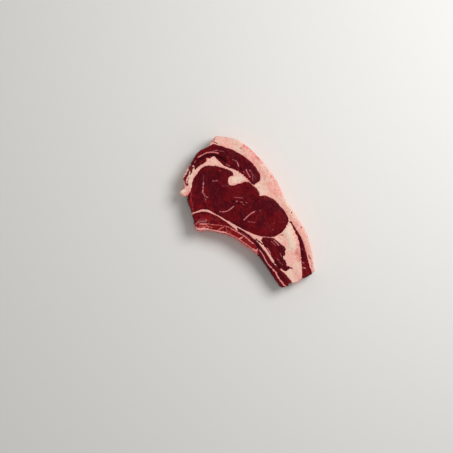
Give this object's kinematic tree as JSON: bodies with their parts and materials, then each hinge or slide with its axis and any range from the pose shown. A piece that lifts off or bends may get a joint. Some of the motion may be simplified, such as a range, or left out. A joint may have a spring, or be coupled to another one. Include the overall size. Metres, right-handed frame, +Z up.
{
  "type": "raw bone-in ribeye steak",
  "caption": "Raw rib steak cut across the bone: dark red eye and cap muscles in creamy fat, with a sawn rib bone along one side and a fatty tail.",
  "frame": {"origin": "under the middle of the slice's bounding box, on the surface that its lower cut face rests on", "axes": "+X along the steak from the thick chine end to the thin tail, +Y towards the fat cap, -Y towards the rib bone, +Z up out of the upper cut face"},
  "size_m": [0.2197, 0.1243, 0.0288],
  "materials": {
    "lean": "moist dark red raw muscle, fine grained, with pale flecks of marbling",
    "fat": "waxy cream fat, pink where it meets the lean and along its rim",
    "bone": "sawn rib bone with red mottled marrow between pale edges"
  },
  "bodies": {
    "root": {"fat": "fat", "cap_muscle": "lean", "eye_muscle": "lean", "chine_muscle": "lean", "rib_muscle": "lean", "intercostal_muscle": "lean", "outer_muscle": "lean", "rib_bone": "bone"}
  },
  "joints": []
}
